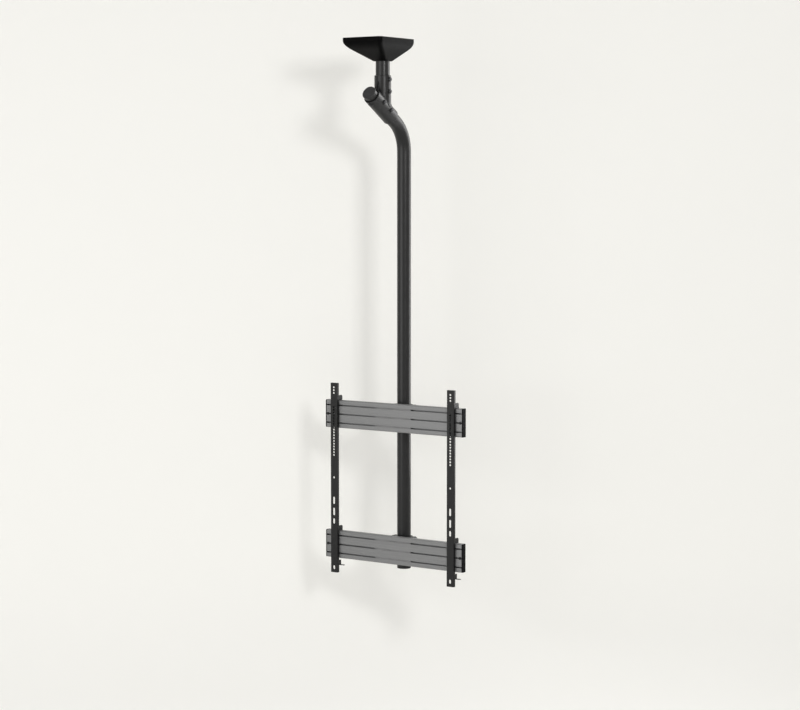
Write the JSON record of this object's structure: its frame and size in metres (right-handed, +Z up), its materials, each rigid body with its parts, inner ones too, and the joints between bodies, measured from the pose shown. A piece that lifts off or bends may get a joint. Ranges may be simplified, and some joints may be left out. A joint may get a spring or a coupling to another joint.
{
  "type": "tv ceiling mount",
  "caption": "Cranked drop-pole ceiling mount with a pyramid cover, slotted horizontal rails clamped to the pole and perforated hook-on arms that carry a flat display.",
  "frame": {"origin": "on the ceiling face of the plate, at the axis of the stub tube", "axes": "+Z up into the ceiling, -Y towards the viewer of the display, +X to the viewer's right"},
  "size_m": [0.5786, 0.2884, 1.8635],
  "materials": {
    "plate_paint": "satin black powder coat",
    "cover_plastic": "matte black moulded",
    "coupling_paint": "satin black powder coat",
    "pole_paint": "satin black powder coat",
    "cap_plastic": "matte black moulded",
    "rail_aluminium": "dark grey anodised",
    "filler_plastic": "grey extruded strip",
    "clamp_aluminium": "black anodised",
    "dark_steel": "black oxide",
    "zinc_steel": "zinc plated",
    "arm_paint": "satin black powder coat",
    "latch_paint": "satin black powder coat"
  },
  "bodies": {
    "ceiling": {"ceiling_plate": "plate_paint"},
    "cover": {"ceiling_cover": "cover_plastic"},
    "crank": {"offset_coupling": "coupling_paint", "coupling_screws": "dark_steel", "lock_screw": "dark_steel", "drop_pole": "pole_paint", "pole_top_cap": "cap_plastic", "pole_bottom_cap": "cap_plastic"},
    "carriage": {"upper_rail": "rail_aluminium", "upper_left_end_cap": "cap_plastic", "upper_right_end_cap": "cap_plastic", "upper_slot_covers": "filler_plastic", "upper_stop_screws": "dark_steel", "upper_stop_nuts": "zinc_steel", "upper_clamp_saddle": "clamp_aluminium", "upper_clamp_strap": "clamp_aluminium", "upper_clamp_bolts": "dark_steel", "upper_clamp_nuts": "zinc_steel", "upper_rail_bolts": "dark_steel", "upper_rail_nuts": "zinc_steel", "lower_rail": "rail_aluminium", "lower_left_end_cap": "cap_plastic", "lower_right_end_cap": "cap_plastic", "lower_slot_covers": "filler_plastic", "lower_stop_screws": "dark_steel", "lower_stop_nuts": "zinc_steel", "lower_clamp_saddle": "clamp_aluminium", "lower_clamp_strap": "clamp_aluminium", "lower_clamp_bolts": "dark_steel", "lower_clamp_nuts": "zinc_steel", "lower_rail_bolts": "dark_steel", "lower_rail_nuts": "zinc_steel"},
    "left_arm": {"left_arm": "arm_paint", "left_upper_hook": "arm_paint", "left_lower_hook": "arm_paint", "left_latch_housing": "arm_paint", "left_latch_spring": "zinc_steel"},
    "left_latch": {"left_latch": "latch_paint"},
    "right_arm": {"right_arm": "arm_paint", "right_upper_hook": "arm_paint", "right_lower_hook": "arm_paint", "right_latch_housing": "arm_paint", "right_latch_spring": "zinc_steel"},
    "right_latch": {"right_latch": "latch_paint"}
  },
  "joints": [
    {"name": "cover_slide", "type": "slide", "parent": "ceiling", "child": "cover", "axis": [0, 0, -1], "range_m": [0, 0.0475]},
    {"name": "crank_swivel", "type": "hinge", "parent": "ceiling", "child": "crank", "pos_m": [0, 0, -0.1227], "axis": [0, 0, 1], "range_deg": [-180, 180]},
    {"name": "height_slide", "type": "slide", "parent": "crank", "child": "carriage", "axis": [0, 0, 1], "range_m": [-0.023, 0.8]},
    {"name": "left_arm_slide", "type": "slide", "parent": "carriage", "child": "left_arm", "axis": [1, 0, 0], "range_m": [-0.0136, 0.1455]},
    {"name": "left_latch_pull", "type": "slide", "parent": "left_arm", "child": "left_latch", "axis": [0, 0, -1], "range_m": [0, 0.006], "stiffness_N_per_m": 500, "springref_m": -0.006, "deforming": ["left_latch_spring"]},
    {"name": "right_arm_slide", "type": "slide", "parent": "carriage", "child": "right_arm", "axis": [-1, 0, 0], "range_m": [-0.0136, 0.1455]},
    {"name": "right_latch_pull", "type": "slide", "parent": "right_arm", "child": "right_latch", "axis": [0, 0, -1], "range_m": [0, 0.006], "stiffness_N_per_m": 500, "springref_m": -0.006, "deforming": ["right_latch_spring"]}
  ]
}
